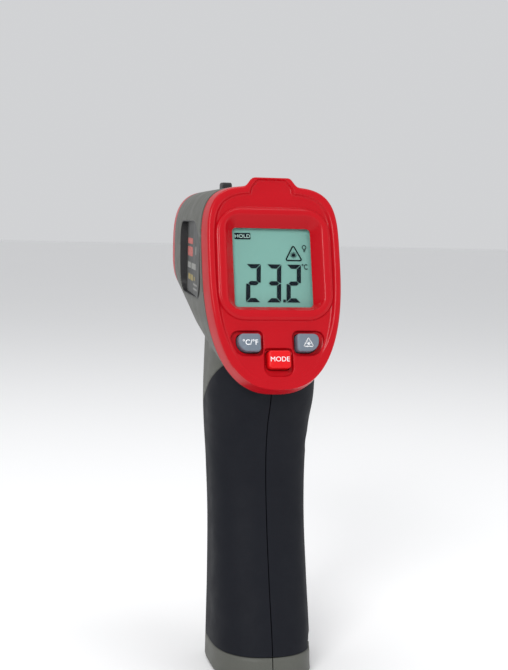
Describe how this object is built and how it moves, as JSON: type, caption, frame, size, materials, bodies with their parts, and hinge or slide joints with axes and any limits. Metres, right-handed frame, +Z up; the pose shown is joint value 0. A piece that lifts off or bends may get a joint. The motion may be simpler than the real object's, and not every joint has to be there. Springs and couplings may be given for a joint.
{
  "type": "infrared thermometer",
  "caption": "Pistol-grip infrared thermometer with a red display bezel and nose ring, grey two-half housing, black grip covers, spring trigger, three keys and a battery door in the handle",
  "frame": {"origin": "under the middle of the overall box, on the surface that the handle's foot stands on", "axes": "+X the user's right, +Y the way the nose points, +Z up"},
  "size_m": [0.043, 0.1005, 0.1526],
  "materials": {
    "red_plastic": "satin moulded red plastic",
    "grey_plastic": "fine-textured warm grey plastic",
    "black_rubber": "matte blue-black soft rubber",
    "black_plastic": "matte black plastic",
    "key_grey": "slate grey moulded key",
    "clear_window": "clear display window",
    "lcd": "grey-green liquid crystal display",
    "white_plastic": "white diffuser plastic",
    "circuit_board": "green solder mask",
    "elastomer": "conductive elastomer strip",
    "steel": "zinc plated steel",
    "brass": "machined brass",
    "ir_lens": "milky polyethylene lens",
    "cell_sleeve": "printed cell sleeve",
    "label": "dark adhesive label",
    "wire_red": "red wire insulation",
    "wire_black": "black wire insulation",
    "wire_grey": "grey cable jacket"
  },
  "bodies": {
    "housing": {"left_housing": "grey_plastic", "right_housing": "grey_plastic", "left_grip_cover": "black_rubber", "right_grip_cover": "black_rubber", "left_label": "label", "right_label": "label", "nose_ring": "red_plastic", "nose_plate": "black_plastic", "laser_window": "clear_window", "optics_barrel": "black_plastic", "infrared_lens": "ir_lens", "thermopile_sensor": "steel", "sensor_board": "circuit_board", "laser_module": "brass", "optics_bracket": "black_plastic", "sight_post": "black_plastic", "rear_bezel": "red_plastic", "display_window": "clear_window", "lcd_glass": "lcd", "lcd_backlight": "white_plastic", "contact_strip_upper": "elastomer", "contact_strip_lower": "elastomer", "display_frame": "white_plastic", "main_board": "circuit_board", "board_screw_1": "steel", "board_screw_2": "steel", "processor_chip": "black_plastic", "buzzer": "black_plastic", "trigger_pin": "steel", "trigger_spring": "steel", "trigger_switch_board": "circuit_board", "trigger_switch_body": "black_plastic", "battery_door_pin": "steel", "battery_tray": "black_plastic", "battery_left": "cell_sleeve", "battery_right": "cell_sleeve", "bridge_contact": "steel", "positive_contact": "steel", "negative_contact": "steel", "battery_wire_red": "wire_red", "battery_wire_black": "wire_black", "sensor_cable": "wire_grey", "laser_wire": "wire_red", "trigger_wire": "wire_black", "key_switch_unit": "black_plastic", "key_switch_light": "black_plastic", "key_switch_mode": "black_plastic", "housing_screw_1": "steel", "housing_screw_2": "steel", "housing_screw_3": "steel", "housing_screw_4": "steel"},
    "trigger_body": {"trigger": "red_plastic"},
    "trigger_plunger_body": {"trigger_switch_plunger": "white_plastic"},
    "key_unit_body": {"key_unit": "key_grey", "key_plunger_unit": "white_plastic"},
    "key_light_body": {"key_light": "key_grey", "key_plunger_light": "white_plastic"},
    "key_mode_body": {"key_mode": "red_plastic", "key_plunger_mode": "white_plastic"},
    "battery_door_body": {"battery_door": "grey_plastic"}
  },
  "joints": [
    {"name": "trigger_pull", "type": "hinge", "parent": "housing", "child": "trigger_body", "pos_m": [0, -0.004, 0.1075], "axis": [-1, 0, 0], "range_deg": [0, 9], "stiffness_Nm_per_rad": 0.5, "springref_deg": -5.73, "deforming": ["trigger_spring"]},
    {"name": "trigger_plunger_slide", "type": "slide", "parent": "housing", "child": "trigger_plunger_body", "axis": [0, -1, 0], "range_m": [0, 0.0012]},
    {"name": "key_unit_press", "type": "slide", "parent": "housing", "child": "key_unit_body", "axis": [0, 0.9613, -0.2756], "range_m": [0, 0.0008], "stiffness_N_per_m": 900},
    {"name": "key_light_press", "type": "slide", "parent": "housing", "child": "key_light_body", "axis": [0, 0.9613, -0.2756], "range_m": [0, 0.0008], "stiffness_N_per_m": 900},
    {"name": "key_mode_press", "type": "slide", "parent": "housing", "child": "key_mode_body", "axis": [0, 0.9613, -0.2756], "range_m": [0, 0.0008], "stiffness_N_per_m": 900},
    {"name": "battery_door_swing", "type": "hinge", "parent": "housing", "child": "battery_door_body", "pos_m": [0, -0.0145, 0.0082], "axis": [-1, 0, 0], "range_deg": [0, 80]}
  ],
  "couplings": [
    {"joint": "trigger_plunger_slide", "follows": "trigger_pull", "m_per_rad": 0.0071}
  ]
}
